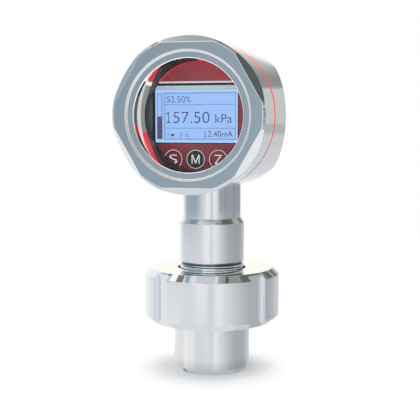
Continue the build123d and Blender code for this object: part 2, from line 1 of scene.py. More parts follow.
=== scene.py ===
import bpy
import bmesh
from math import asin, atan2, cos, hypot, pi, radians, sin, tan
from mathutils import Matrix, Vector


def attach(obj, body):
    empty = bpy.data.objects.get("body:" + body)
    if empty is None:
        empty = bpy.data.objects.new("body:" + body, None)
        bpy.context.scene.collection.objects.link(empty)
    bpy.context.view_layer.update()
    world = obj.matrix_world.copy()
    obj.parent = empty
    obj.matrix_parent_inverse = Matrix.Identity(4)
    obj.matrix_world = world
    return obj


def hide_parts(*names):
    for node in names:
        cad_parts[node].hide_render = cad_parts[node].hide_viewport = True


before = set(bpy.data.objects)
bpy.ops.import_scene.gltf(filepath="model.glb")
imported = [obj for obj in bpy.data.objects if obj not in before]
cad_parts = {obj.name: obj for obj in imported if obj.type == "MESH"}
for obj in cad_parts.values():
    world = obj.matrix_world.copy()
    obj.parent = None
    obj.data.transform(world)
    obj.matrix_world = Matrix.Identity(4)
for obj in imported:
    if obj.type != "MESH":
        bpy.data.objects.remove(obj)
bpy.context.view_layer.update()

from types import SimpleNamespace

print("frame loaded:", len(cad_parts), "nodes")

# Sizes below are millimetres, in the part's own frame: +Z up, the display looks along -Y
headZ = 146.2
headReach = 42.0  # colours over the head's height run from this far below its axis to this far above
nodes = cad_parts


def fromScreen(red, green, blue):
    # a colour as seen on screen, 0 to 255, to Blender's linear values
    def channel(value):
        value = value / 255
        return value / 12.92 if value <= 0.04045 else ((value + 0.055) / 1.055) ** 2.4
    return (channel(red), channel(green), channel(blue), 1.0)


def sizesOf(piece):
    # a piece's dictionary, to be read as s.radius in its function
    return SimpleNamespace(**piece)


def darker(colour, share):
    return tuple(share * c for c in colour[:3]) + (1,)


# Mesh helpers

def softenCorners(outline, closed=True, arcSteps=3):
    # points are (radius, height, rounding, zone of what follows, zone of the rounding), of which the last
    # three may be left out
    result = []
    last = len(outline) - 1
    for i, point in enumerate(outline):
        radius, height, rounding, zone, edgeZone = point + (0.2, 0, None)[len(point) - 2:]
        here = Vector((radius, height))
        if rounding == 0 or (not closed and i in (0, last)):
            result.append((radius, height, zone))
            continue
        back = Vector(outline[i - 1][:2]) - here
        ahead = Vector(outline[(i + 1) % len(outline)][:2]) - here
        turn = max(pi - back.angle(ahead, pi), 0.02)
        reach = min(rounding * tan(turn / 2), 0.45 * back.length, 0.45 * ahead.length)
        arcRadius = reach / tan(turn / 2)
        inward = (back.normalized() + ahead.normalized()).normalized()
        centre = here + inward * (arcRadius / cos(turn / 2))
        first = here + back.normalized() * reach - centre
        final = here + ahead.normalized() * reach - centre
        for k in range(arcSteps + 1):
            t = k / arcSteps
            spot = centre + (first * sin((1 - t) * turn) + final * sin(t * turn)) / sin(turn)
            cornerZone = edgeZone if edgeZone is not None and k < arcSteps else zone
            result.append((spot.x, spot.y, cornerZone))
    return result


def addObject(name, data):
    obj = bpy.data.objects.new(name, data)
    bpy.context.scene.collection.objects.link(obj)
    return obj


def newObject(name, verts, faces, zones=None):
    mesh = bpy.data.meshes.new(name)
    mesh.from_pydata([(x / 1000, y / 1000, z / 1000) for x, y, z in verts], [], faces)
    if zones:
        mesh.polygons.foreach_set("material_index", zones)
    work = bmesh.new()
    work.from_mesh(mesh)
    bmesh.ops.remove_doubles(work, verts=work.verts, dist=2e-7)
    bmesh.ops.recalc_face_normals(work, faces=work.faces)
    work.to_mesh(mesh)
    work.free()
    return addObject(name, mesh)


def smoothOff(obj, angle=32):
    mesh = obj.data
    mesh.shade_smooth()
    mesh.set_sharp_from_angle(angle=radians(angle))
    even = obj.modifiers.new("evenNormals", "WEIGHTED_NORMAL")
    even.keep_sharp = True
    even.weight = 100
    return obj


def quads(columns, count, closed=True):
    # faces between neighbouring columns of points; the last column meets the first
    rows = count if closed else count - 1
    faces = []
    for i in range(columns):
        j = (i + 1) % columns
        for k in range(rows):
            m = (k + 1) % count
            faces.append((i * count + k, j * count + k, j * count + m, i * count + m))
    return faces


def sweepOutlines(name, outlines, place, angles, closed=True):
    # one outline per angle, all with as many points, joined into a skin
    count = len(outlines[0])
    verts = []
    for angle, outline in zip(angles, outlines):
        verts += [place(radius, height, angle) for radius, height, zone in outline]
    rows = count if closed else count - 1
    zones = [outline[k][2] for outline in outlines for k in range(rows)]
    return newObject(name, verts, quads(len(angles), count, closed), zones)


def onStem(radius, height, angle):
    return (radius * cos(angle), radius * sin(angle), height)


def onHead(radius, depth, angle):
    return (radius * cos(angle), depth, headZ + radius * sin(angle))


def turned(name, outline, place, steps=240, closed=True):
    soft = softenCorners(outline, closed)
    angles = [2 * pi * i / steps for i in range(steps)]
    return smoothOff(sweepOutlines(name, [soft] * steps, place, angles, closed))


def dress(obj, materials, body, replaced=()):
    for material in materials:
        obj.data.materials.append(material)
    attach(obj, body)
    if replaced:
        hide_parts(*replaced)
    return obj


# Node helpers

def feed(tree, socket, value):
    # a socket takes a link or a plain value
    if isinstance(value, bpy.types.NodeSocket):
        tree.links.new(value, socket)
    elif value is not None:
        socket.default_value = value


def fill(tree, node, **values):
    # perMetre is the socket called Per Metre, and at0 the first socket
    for key, value in values.items():
        if key.startswith("at"):
            socket = node.inputs[int(key[2:])]
        else:
            socket = next(s for s in node.inputs if s.name.replace(" ", "").lower() == key.lower())
        feed(tree, socket, value)
    return node


def addNode(tree, kind, settings=None, **values):
    node = tree.nodes.new("ShaderNode" + kind)
    for key, value in (settings or {}).items():
        setattr(node, key, value)
    return fill(tree, node, **values)


def doMath(tree, operation, *values):
    node = addNode(tree, "Math", {"operation": operation})
    for socket, value in zip(node.inputs, values):
        feed(tree, socket, value)
    return node.outputs[0]


def distance(tree, first, second):
    return doMath(tree, "ABSOLUTE", doMath(tree, "SUBTRACT", first, second))


def mixColour(tree, factor, first, second):
    return addNode(tree, "Mix", {"data_type": "RGBA"}, at0=factor, at6=first, at7=second).outputs[2]


def remap(tree, value, low, high, outLow=0.0, outHigh=1.0, smooth=False):
    node = addNode(tree, "MapRange", {"interpolation_type": "SMOOTHSTEP" if smooth else "LINEAR"},
                   value=value, fromMin=low, fromMax=high, toMin=outLow, toMax=outHigh)
    return node.outputs["Result"]


def varied(tree, noise, low=0.0, high=1.0):
    # the part of a noise that matters, 0.3 to 0.7, stretched to low and high
    return remap(tree, noise, 0.3, 0.7, low, high)


def split(tree, place):
    return addNode(tree, "SeparateXYZ", vector=place).outputs


def bumped(tree, height, strength, depth=0.00002):
    return addNode(tree, "Bump", strength=strength, distance=depth, height=height).outputs[0]


def heightColours(tree, place, levels):
    # screen colours over the head's height, as (mm above the head's axis, colour)
    low, high = (headZ - headReach) / 1000, (headZ + headReach) / 1000
    ramp = addNode(tree, "ValToRGB", at0=remap(tree, split(tree, place)["Z"], low, high))
    elements = ramp.color_ramp.elements
    while len(elements) < len(levels):
        elements.new(1.0)
    for element, (level, colour) in zip(elements, levels):
        element.position = (level + headReach) / (2 * headReach)
        element.color = fromScreen(*colour)
    return ramp.outputs[0]


def newGroup(name, inputs, outputs):
    # an input without a number is a vector
    group = bpy.data.node_groups.new(name, "ShaderNodeTree")
    for label, value in inputs.items():
        kind = "NodeSocketVector" if value is None else "NodeSocketFloat"
        feed(group, group.interface.new_socket(name=label, in_out="INPUT", socket_type=kind), value)
    for label in outputs:
        group.interface.new_socket(name=label, in_out="OUTPUT", socket_type="NodeSocketFloat")
    return group, group.nodes.new("NodeGroupInput").outputs, group.nodes.new("NodeGroupOutput").inputs


def startMaterial(name, grainPerMetre):
    material = bpy.data.materials.new(name)
    material.use_nodes = True
    tree = material.node_tree
    tree.nodes.clear()
    shader = addNode(tree, "BsdfPrincipled")
    addNode(tree, "OutputMaterial", surface=shader.outputs[0])
    place = addNode(tree, "TexCoord").outputs["Object"]
    grain = addNode(tree, "Group", {"node_tree": fineGrain}, place=place, perMetre=grainPerMetre)
    return material, tree, shader, place, grain.outputs


# Shared effects

# lines left by turning: bands that follow the axis and the radius of a turned piece
def makeTurnedLines():
    inputs = {"Place": None, "Centre": None, "Axis": None, "Per Metre": 3000.0}
    group, start, end = newGroup("turnedLines", inputs, ["Lines", "Bands"])
    offset = addNode(group, "VectorMath", {"operation": "SUBTRACT"}, at0=start["Place"],
                     at1=start["Centre"])
    along = addNode(group, "VectorMath", {"operation": "DOT_PRODUCT"},
                    at0=offset.outputs[0], at1=start["Axis"]).outputs["Value"]
    length = addNode(group, "VectorMath", {"operation": "LENGTH"}, at0=offset.outputs[0]).outputs["Value"]
    square = doMath(group, "SUBTRACT", doMath(group, "MULTIPLY", length, length),
                    doMath(group, "MULTIPLY", along, along))
    radius = doMath(group, "SQRT", doMath(group, "MAXIMUM", square, 0.0))
    spot = addNode(group, "CombineXYZ", at0=along, at1=radius).outputs[0]
    lines = addNode(group, "TexNoise", {"noise_dimensions": "2D"}, vector=spot, scale=start["Per Metre"],
                    detail=2.0, roughness=0.6)
    bands = addNode(group, "TexNoise", {"noise_dimensions": "2D"}, vector=spot,
                    scale=doMath(group, "MULTIPLY", start["Per Metre"], 0.12), detail=1.0)
    feed(group, end["Lines"], lines.outputs["Fac"])
    feed(group, end["Bands"], bands.outputs["Fac"])
    return group


# fine grain of blasted metal, rubber and moulded plastic
def makeFineGrain():
    group, start, end = newGroup("fineGrain", {"Place": None, "Per Metre": 4000.0}, ["Grain", "Clouds"])
    grain = addNode(group, "TexNoise", vector=start["Place"], scale=start["Per Metre"],
                    detail=3.0, roughness=0.65)
    clouds = addNode(group, "TexNoise", vector=start["Place"],
                     scale=doMath(group, "MULTIPLY", start["Per Metre"], 0.02), detail=2.0)
    feed(group, end["Grain"], grain.outputs["Fac"])
    feed(group, end["Clouds"], clouds.outputs["Fac"])
    return group


turnedLines = makeTurnedLines()
fineGrain = makeFineGrain()


stemAxis = ((0, 0, 0), (0, 0, 1))
drumAxis = ((0, 0, headZ / 1000), (0, 1, 0))


def steel(name, tint, roughness, perMetre, lineDepth, spread=0.05, axis=stemAxis, foot=0.0, glow=0.0):
    # stainless steel with turning lines: spread is how far the roughness wanders, foot the height in metres
    # below which a painted shade darkens it, standing for the floor's shadow mirrored low down, and glow is
    # emission, a painted glint on a thin edge
    colour = fromScreen(*tint)
    material, tree, shader, place, grain = startMaterial(name, 1500)
    lines = addNode(tree, "Group", {"node_tree": turnedLines}, place=place, centre=axis[0], axis=axis[1],
                    perMetre=perMetre).outputs
    tone = mixColour(tree, varied(tree, lines["Bands"], 0.965, 1.0), darker(colour, 0.86), colour)
    # painted shade: darker towards the floor, for the floor's shadow mirrored in the steel
    if foot:
        low = remap(tree, split(tree, place)["Z"], 0.0, foot, smooth=True)
        tone = mixColour(tree, low, darker(colour, 0.7), tone)
    wander = doMath(tree, "ADD", lines["Lines"], grain["Clouds"])
    # the emission from glow is a painted glint
    fill(tree, shader, baseColor=tone, metallic=1.0, emissionColor=colour, emissionStrength=glow,
         roughness=remap(tree, wander, 0.6, 1.4, roughness - spread, roughness + spread),
         normal=bumped(tree, lines["Lines"], lineDepth, 0.00001))
    return material


def moulded(name, tint, roughness, perMetre=2500, depth=0.3, shade=0.85, glow=0.0, shine=0.5):
    # rubber and plastic: a dull skin with fine grain; glow is emission, painted light standing for light
    # from the display beside it
    colour = fromScreen(*tint)
    material, tree, shader, place, grain = startMaterial(name, perMetre)
    tone = mixColour(tree, varied(tree, grain["Clouds"]), darker(colour, shade), colour)
    fill(tree, shader, baseColor=tone, specularIorLevel=shine, emissionColor=colour, emissionStrength=glow,
         roughness=varied(tree, grain["Grain"], roughness - 0.06, roughness + 0.06),
         normal=bumped(tree, grain["Grain"], depth))
    return material


steelTone = (236, 238, 240)
# the front face's blue-grey tint is a painted reflection of the blue-grey room it faces
coverFace = steel("coverFace", (169, 184, 194), 0.34, 2200, 0.15, axis=drumAxis)
# coverEdge, stepEdge and windowRim are near-white copies of the steel for edges and bevels: painted
# highlights, which on stepEdge and windowRim also glow as painted light
coverEdge = steel("coverEdge", (253, 253, 254), 0.32, 3000, 0.1, 0.03, drumAxis)
coverSide = steel("coverSide", steelTone, 0.07, 3000, 0.05, 0.02, drumAxis)
housingSide = steel("housingSide", (236, 236, 235), 0.08, 3000, 0.06, 0.02, drumAxis)
stepEdge = steel("stepEdge", (253, 250, 250), 0.5, 3000, 0.1, 0.03, drumAxis, glow=0.2)
windowRim = steel("windowRim", (253, 253, 254), 0.32, 3000, 0.1, 0.03, drumAxis, glow=0.35)
nutSkin = steel("nutSkin", steelTone, 0.16, 2200, 0.05)
nutBevel = steel("nutBevel", (240, 241, 242), 0.05, 2200, 0.04, 0.02)
nutTop = steel("nutTop", (252, 252, 251), 0.08, 2200, 0.03, 0.02)
slotSkin = steel("slotSkin", (240, 242, 245), 0.1, 2200, 0.03, 0.02)
# the sleeve's foot is a painted shade along its lowest 10 mm
sleeveSkin = steel("sleeveSkin", steelTone, 0.14, 1800, 0.05, 0.03, foot=0.01)
bodySkin = steel("bodySkin", (239, 240, 242), 0.2, 2600, 0.05)
bodyBevel = steel("bodyBevel", (238, 240, 242), 0.18, 2600, 0.04, 0.02)
threadSkin = steel("threadSkin", (238, 243, 247), 0.1, 3000, 0.04, 0.02)
# a darker copy of the thread's steel: painted shade in the thread's roots and the relief under the body
threadRootShade = steel("threadRootShade", (122, 128, 134), 0.2, 3000, 0.04, 0.02)
neckSkin = steel("neckSkin", (234, 236, 238), 0.07, 2600, 0.04, 0.02)
innerSteel = steel("innerSteel", (215, 217, 220), 0.28, 2600, 0.4)
connectorSteel = steel("connectorSteel", (225, 227, 230), 0.2, 2600, 0.3, axis=drumAxis)
screwSteel = steel("screwSteel", (205, 206, 208), 0.22, 2600, 0.3, axis=drumAxis)
platedBrass = steel("platedBrass", (225, 190, 120), 0.22, 2600, 0.3, axis=drumAxis)
blackPlastic = moulded("blackPlastic", (42, 45, 48), 0.42)
blackRubber = moulded("blackRubber", (34, 35, 37), 0.6)
whitePlastic = moulded("whitePlastic", (232, 229, 220), 0.4)
leadJacket = moulded("leadJacket", (60, 62, 66), 0.5)
keyRed = moulded("keyRed", (184, 88, 99), 0.45, 1800, 0.1, 0.94)
keyDark = moulded("keyDark", (76, 84, 91), 0.35, 1800, 0.2)
# the glow of the prints and inks is painted light
printWhite = moulded("printWhite", (240, 243, 246), 0.5, 3000, 0.05, 0.97, 0.5)
inkNavy = moulded("inkNavy", (92, 90, 146), 0.6, 3000, 0.05, 0.95, 0.12)
inkBar = moulded("inkBar", (108, 100, 140), 0.6, 3000, 0.05, 0.95, 0.3)
shroudGloss = moulded("shroudGloss", (20, 25, 28), 0.4, 1500, 0.1, 0.8, 0.0, 0.25)

# the seal's red over the height: painted shade below and painted light above; the glow is emission, painted
# light for light caught in its groove
sealLook = dict(glow=0.42, roughness=0.6, reds=[
    (-42, (128, 108, 110)), (-30, (130, 98, 100)), (-24, (150, 70, 76)), (-18, (176, 78, 86)),
    (-13, (232, 64, 78)), (-8, (240, 62, 76)), (2, (255, 24, 44)), (42, (255, 22, 42))])


def sealRubber(s):
    material, tree, shader, place, grain = startMaterial("redRubber", 1500)
    # painted shade low down and painted light higher up, by height
    tone = heightColours(tree, place, s.reds)
    fill(tree, shader, baseColor=tone, emissionColor=tone, emissionStrength=s.glow, specularIorLevel=0.0,
         roughness=varied(tree, grain["Grain"], s.roughness - 0.03, s.roughness + 0.03))
    return material


def labelFilm():
    material, tree, shader, place, grain = startMaterial("labelFilm", 3500)
    tone = mixColour(tree, remap(tree, grain["Grain"], 0.35, 0.65), fromScreen(176, 80, 92),
                     fromScreen(190, 94, 106))
    fill(tree, shader, baseColor=tone, roughness=varied(tree, grain["Grain"], 0.4, 0.5),
         normal=bumped(tree, grain["Grain"], 0.1))
    return material


# the display in metres: the lit glass round its middle, and its frame's strips by height
display = dict(middle=-0.0026, halfWidth=0.0212, halfHeight=0.0128, rimWidth=0.002, rimHeight=0.0013,
               blackBefore=-0.0259, glow=0.92, frameHalf=0.0247, frameBlur=0.0004, strip=0.0147,
               line=0.0167, lip=0.018, frameGlow=0.35)


def litGlass(d):
    # the backlit display: light blue, a touch paler towards its border
    material, tree, shader, place, grain = startMaterial("litGlass", 1200)
    x, y, z = split(tree, place)
    across = distance(tree, x, d.middle)
    up = distance(tree, z, headZ / 1000)
    sideRim = remap(tree, across, d.halfWidth, d.halfWidth + d.rimWidth)
    endRim = remap(tree, up, d.halfHeight, d.halfHeight + d.rimHeight)
    rim = doMath(tree, "MAXIMUM", sideRim, endRim)
    glow = mixColour(tree, rim, fromScreen(157, 196, 254), fromScreen(178, 212, 254))
    # its own light is blue straight on, and pale after bounces in the polished rings beside it
    depth = addNode(tree, "LightPath").outputs["Ray Depth"]
    glow = mixColour(tree, doMath(tree, "GREATER_THAN", depth, 2.5), glow, fromScreen(216, 217, 214))
    lit = doMath(tree, "GREATER_THAN", x, d.blackBefore)
    fill(tree, shader, emissionStrength=d.glow,
         emissionColor=mixColour(tree, lit, (0.004, 0.006, 0.006, 1), glow),
         baseColor=mixColour(tree, grain["Clouds"], (0.02, 0.03, 0.05, 1), (0.03, 0.04, 0.06, 1)),
         roughness=varied(tree, grain["Grain"], 0.3, 0.4))
    return material


def frameStrips(d):
    # the display's frame: a pale strip above the glass, a black line and a bright lip; the whole frame
    # glows with painted light
    material, tree, shader, place, grain = startMaterial("frameStrips", 2500)
    x, y, z = split(tree, place)
    height = doMath(tree, "SUBTRACT", z, headZ / 1000)
    beside = remap(tree, distance(tree, x, d.middle), d.frameHalf, d.frameHalf + d.frameBlur)
    tone = mixColour(tree, beside, fromScreen(30, 36, 40), fromScreen(84, 94, 99))
    strips = ((d.strip, (188, 209, 222)), (d.line, (20, 24, 30)), (d.lip, (206, 224, 232)))
    for level, colour in strips:
        tone = mixColour(tree, doMath(tree, "GREATER_THAN", height, level), tone, fromScreen(*colour))
    # frameGlow is emission: painted light on the frame
    fill(tree, shader, baseColor=tone, emissionColor=tone, emissionStrength=d.frameGlow,
         roughness=varied(tree, grain["Grain"], 0.3, 0.42))
    return material


def clearGlass():
    # light for the display passes straight through; what is seen through it keeps a faint shine
    material, tree, shader, place, grain = startMaterial("clearGlass", 300)
    fill(tree, shader, transmissionWeight=1.0, ior=1.12, baseColor=(0.985, 0.99, 0.99, 1),
         roughness=varied(tree, grain["Clouds"], 0.0, 0.012))
    rays = addNode(tree, "LightPath").outputs
    passing = doMath(tree, "MAXIMUM", rays["Is Shadow Ray"], rays["Is Diffuse Ray"])
    clear = addNode(tree, "BsdfTransparent").outputs[0]
    blend = addNode(tree, "MixShader", at0=passing, at1=shader.outputs[0], at2=clear)
    output = next(node for node in tree.nodes if node.type == "OUTPUT_MATERIAL")
    feed(tree, output.inputs[0], blend.outputs[0])
    return material


def circuitBoard():
    material, tree, shader, place, grain = startMaterial("circuitBoard", 2000)
    tracks = addNode(tree, "TexBrick", vector=place, scale=260.0, mortarSize=0.06,
                     color1=fromScreen(28, 96, 60), color2=fromScreen(22, 84, 52),
                     mortar=fromScreen(60, 128, 84))
    fill(tree, shader, baseColor=tracks.outputs["Color"], roughness=varied(tree, grain["Grain"], 0.3, 0.45))
    return material


# the rings' colours are painted reflections, shown as emission
# bands in the window's rings, in mm, from the bore's left side slantwise to the head's axis:
# each edge as (place at the axis, bend with the height's square or fourth power), colours over the height
ringBands = dict(
    boreSquare=888.0, acrossShare=0.965, inwardShare=0.262, start=12.6, softness=0.4,
    firstEdge=(4.4, -0.0105), secondEdge=(10.8, -0.0186), thirdEdge=(17.3, -0.00004),
    streakPlace=4.2, streakWidth=(0.4, 1.6), streakTone=(70, 77, 81),
    labelLine=(20.8, 21.6), labelAbove=17.9, labelTone=(196, 62, 68),
    outer=[(-27, (176, 28, 40)), (-24, (96, 4, 12)), (-20, (10, 6, 8)), (-12, (24, 6, 8)),
           (-9.4, (176, 32, 42)), (-5, (206, 48, 56)), (-4, (84, 90, 94)), (10, (84, 88, 90)),
           (12, (24, 26, 28)), (18, (20, 20, 22)), (18.6, (240, 242, 242)), (27, (240, 236, 236))],
    middle=[(-25, (206, 60, 66)), (-18, (232, 190, 190)), (-9, (232, 216, 214)), (-6, (206, 212, 208)),
            (12, (206, 206, 206)), (17.4, (222, 220, 218)), (18.4, (244, 246, 246)), (19.6, (206, 46, 56)),
            (22, (224, 112, 112)), (23, (206, 42, 52)), (30, (190, 30, 42))],
    inner=[(-26, (200, 40, 50)), (-9, (220, 50, 60)), (-8, (134, 134, 130)), (8, (138, 136, 134)),
           (16, (128, 126, 126)), (16.6, (240, 242, 242)), (17.9, (240, 242, 242)), (18.4, (196, 30, 42)),
           (25, (214, 58, 66)), (30, (190, 30, 42))],
    ring=[(-30, (22, 27, 30)), (0, (36, 44, 49)), (30, (20, 24, 26))])


def mirroredBands(b):
    # the polished ring and the dark ring behind the glass carry painted reflections: emission bands that
    # stand for the display and the label mirrored in them, which run round the window and narrow towards
    # top and bottom
    material, tree, shader, place, grain = startMaterial("mirroredBands", 1500)
    x, y, z = split(tree, place)
    height = doMath(tree, "MULTIPLY_ADD", z, 1000.0, -headZ)
    square = doMath(tree, "MULTIPLY", height, height)
    fourth = doMath(tree, "MULTIPLY", square, square)
    room = doMath(tree, "MAXIMUM", doMath(tree, "SUBTRACT", b.boreSquare, square), 0.0)
    side = doMath(tree, "MULTIPLY", doMath(tree, "SQRT", room), b.acrossShare)
    inward = doMath(tree, "MULTIPLY_ADD", y, 1000 * b.inwardShare, b.start)
    reach = doMath(tree, "MULTIPLY_ADD", x, 1000 * b.acrossShare, inward)
    depth = doMath(tree, "DIVIDE", doMath(tree, "ADD", reach, side), b.inwardShare)
    tone = heightColours(tree, place, b.outer)
    for (level, bend), power, colours in ((b.firstEdge, square, b.middle), (b.secondEdge, square, b.inner),
                                          (b.thirdEdge, fourth, b.ring)):
        border = doMath(tree, "MULTIPLY_ADD", power, bend, level)
        passed = remap(tree, doMath(tree, "SUBTRACT", depth, border), -b.softness, b.softness)
        tone = mixColour(tree, passed, tone, heightColours(tree, place, colours))
    # a painted grey highlight on the dark ring
    streak = distance(tree, depth, doMath(tree, "ADD", border, b.streakPlace))
    tone = mixColour(tree, remap(tree, streak, *b.streakWidth, 0.7, 0.0, True), tone,
                     fromScreen(*b.streakTone))
    # the label shows as a thin red line at the dark ring's upper inner edge
    top = doMath(tree, "GREATER_THAN", height, b.labelAbove)
    last = doMath(tree, "MULTIPLY", remap(tree, depth, *b.labelLine), top)
    tone = mixColour(tree, last, tone, fromScreen(*b.labelTone))
    # the painted reflections are all emission over a black base
    fill(tree, shader, baseColor=(0.01, 0.01, 0.01, 1), roughness=varied(tree, grain["Grain"], 0.3, 0.36),
         specularIorLevel=0.1, emissionColor=tone, emissionStrength=1.0)
    return material


redRubber = sealRubber(sizesOf(sealLook))
filmRed = labelFilm()
ringMirror = mirroredBands(sizesOf(ringBands))
displayGlow = litGlass(sizesOf(display))
displayFrame = frameStrips(sizesOf(display))
windowClear = clearGlass()
boardGreen = circuitBoard()
print("materials ready:", len(bpy.data.materials))

# Weld sleeve
sleeve = dict(radius=21.8, bore=19.0, neckHeight=31.0, bevel=(1.05, 2.5), threadRadius=32.3, threadTop=44.0,
              threadEdge=1.2, seatRadius=24.0, seatDepth=5.0, sealInner=26.2, sealOuter=29.6, sealDepth=1.8,
              sealGap=0.05)


def makeSleeve(s):
    top = s.threadTop
    outline = [
        (s.bore, 0.0, 0.25),
        (s.radius - s.bevel[0], 0.0, 0.3),
        (s.radius, s.bevel[1], 0.5),
        (s.radius, s.neckHeight, 0.5),
        (s.threadRadius - s.threadEdge, s.neckHeight),
        (s.threadRadius, s.neckHeight + s.threadEdge, 0.3),
        (s.threadRadius, top - s.threadEdge, 0.3),
        (s.threadRadius - s.threadEdge, top),
        (s.sealOuter + s.sealGap, top, 0.1),
        (s.sealOuter + s.sealGap, top - s.sealDepth, 0.1),
        (s.sealInner - s.sealGap, top - s.sealDepth, 0.1),
        (s.sealInner - s.sealGap, top, 0.1),
        (s.seatRadius, top),
        (s.seatRadius, top - s.seatDepth),
        (s.bore, top - s.seatDepth, 0.3),
    ]
    obj = turned("weldSleeveSkin", outline, onStem)
    dress(obj, [sleeveSkin], "sleeve", ["weld_sleeve"])


makeSleeve(sizesOf(sleeve))
print("weld sleeve made")

# Union nut
nut = dict(radius=39.0, bottom=28.5, top=59.2, chamfer=(3.9, 3.5), bore=19.6, threadRadius=32.6, plate=8.5,
           lead=1.0, slots=4, slotWidth=10.9, slotDepth=3.0, slotAngle=-33.2, slotEdge=0.3,
           slotFillet=0.4, softness=0.35)


def nutContour(n, reach):
    # half of one slot and the arc beside it, as (out, across, in the slot or not)
    half = n.slotWidth / 2
    floor = n.radius - n.slotDepth
    arcPoints = 26
    if reach > hypot(floor, half):
        corner = ((reach ** 2 - half ** 2) ** 0.5, half)
    else:
        corner = (min(reach, floor), max(reach ** 2 - floor ** 2, 0) ** 0.5)
    depth = corner[0] - min(reach, floor)
    edge = min(n.slotEdge, 0.4 * depth)
    fillet = min(n.slotFillet, 0.4 * depth)
    low = corner[0] - depth
    points = [(low, (corner[1] - fillet) * t / 3, True) for t in range(4)]
    for t in (0.3, 0.6, 1.0):
        points.append((low + fillet * t * t, corner[1] - fillet * (1 - t) ** 2, True))
    start = corner[0] - edge
    points.append(((low + fillet + start) / 2, corner[1], True))
    slip = edge / reach
    turn = atan2(corner[1], corner[0])
    for t in (0.0, 0.35, 0.65):
        points.append((start + edge * (1 - (1 - t) ** 2), corner[1] + edge * t * t, t > 0.5))
    for k in range(arcPoints + 1):
        angle = turn + slip + (pi / n.slots - turn - slip) * k / arcPoints
        points.append((reach * cos(angle), reach * sin(angle), False))
    return points


def makeNut(n):
    wide, tall = n.chamfer
    soft = n.softness
    outline = [
        (n.threadRadius + n.lead, n.bottom),
        (n.radius - wide, n.bottom, soft, 1),
        (n.radius, n.bottom + tall, soft),
        (n.radius, n.top - tall, soft, 1),
        (n.radius - wide, n.top, soft, 2),
        (n.bore, n.top, 0.3),
        (n.bore, n.top - n.plate),
        (n.threadRadius, n.top - n.plate),
        (n.threadRadius, n.bottom + n.lead),
    ]
    soft = softenCorners(outline)
    floor = n.radius - n.slotDepth
    rim = hypot(floor, n.slotWidth / 2)
    # the chamfers get more levels where they meet the slots
    breaks = [rim, floor + 0.25, floor + 0.1, floor + 0.02, floor]
    levels = []
    for (r0, z0, zone), (r1, z1, after) in zip(soft, soft[1:] + soft[:1]):
        levels.append((r0, z0, zone))
        between = [r for r in breaks if min(r0, r1) + 0.01 < r < max(r0, r1) - 0.01]
        for r in sorted(between, reverse=r1 < r0):
            levels.append((r, z0 + (z1 - z0) * (r - r0) / (r1 - r0), zone))
    verts = []
    zones = []
    contours = []
    for radius, height, zone in levels:
        half = nutContour(n, radius)
        sides = [(u, -v, inSlot) for u, v, inSlot in reversed(half[1:])] + half[:-1]
        ring = []
        for k in range(n.slots):
            angle = radians(n.slotAngle + 360 / n.slots * k)
            for u, v, inSlot in sides:
                ring.append(inSlot)
                verts.append((u * cos(angle) - v * sin(angle), u * sin(angle) + v * cos(angle), height))
        contours.append(ring)
    count = len(contours[0])
    for ring, (radius, height, zone), (ahead, z1, after) in zip(contours, levels, levels[1:] + levels[:1]):
        outside = radius > floor + 0.5 and ahead > floor + 0.01
        zones += [3 if outside and ring[i] and ring[(i + 1) % count] else zone for i in range(count)]
    obj = smoothOff(newObject("unionNutSkin", verts, quads(len(levels), count), zones), 28)
    dress(obj, [nutSkin, nutBevel, nutTop, slotSkin], "nut", ["union_nut"])


makeNut(sizesOf(nut))
print("union nut made")

# Sensor body with its thread
body = dict(radius=18.65, bottom=62.9, shoulder=85.5, top=88.3, neckRadius=16.7, edge=0.4, relief=1.0,
            threadRadius=18.45, rootRadius=17.2, pitch=2.15, crestShare=0.96, slopeShare=0.13,
            threadStart=0.6, threadLift=0.02, threadFade=(0.8, 0.3), rootBelow=0.75,
            stemBottom=45.0, stemBore=11.0, wellRadius=14.65, wellBottom=61.5)


def makeBody(b):
    outline = [
        (b.stemBore, b.stemBottom),
        (b.rootRadius, b.stemBottom),
        (b.rootRadius, b.bottom - b.relief, 0.0, 2),
        (b.rootRadius, b.bottom, 0.15, 2),
        (b.radius - b.edge, b.bottom, 0.15, 1),
        (b.radius, b.bottom + b.edge, 0.3),
        (b.radius, b.shoulder, 0.3, 1),
        (b.neckRadius, b.top, 0.3),
        (b.wellRadius, b.top),
        (b.wellRadius, b.wellBottom),
        (b.stemBore, b.wellBottom),
    ]
    obj = turned("sensorBodySkin", outline, onStem)
    # the relief under the body, zone 2, takes the painted shade of the darker root steel
    dress(obj, [bodySkin, bodyBevel, threadRootShade], "transmitter", ["sensor_body"])
    # the thread is one helix with flat crests, which runs out just under the body
    steps = 240
    rowsPerTurn = 18
    low = b.stemBottom + b.threadStart
    high = b.bottom - b.relief
    rows = int((high - low) / b.pitch * rowsPerTurn)
    base = b.rootRadius + b.threadLift
    depth = b.threadRadius - b.rootRadius - b.threadLift
    verts = []
    crests = []
    for i in range(steps):
        angle = 2 * pi * i / steps
        for k in range(rows + 1):
            z = low + (high - low) * k / rows
            phase = ((z + b.pitch * angle / (2 * pi)) / b.pitch) % 1
            crest = min(1.0, max(0.0, (b.crestShare / 2 - abs(phase - 0.5)) / b.slopeShare))
            crest *= min(1.0, (z - low) / b.threadFade[0], max(0.0, (high - z) / b.threadFade[1]))
            crests.append(crest)
            verts.append(onStem(base + depth * crest, z, angle))
    faces = quads(steps, rows + 1, False)
    # faces low in the roots take the painted shade
    zones = [int(crests[face[0]] + crests[face[3]] < b.rootBelow) for face in faces]
    thread = newObject("sensorThread", verts, faces, zones)
    thread.data.shade_smooth()
    dress(thread, [threadSkin, threadRootShade], "transmitter")


makeBody(sizesOf(body))
print("sensor body made")

# Neck
neck = dict(radius=16.7, bore=12.0, bottom=83.3, top=112.0, spigot=14.6, shoulder=88.3)


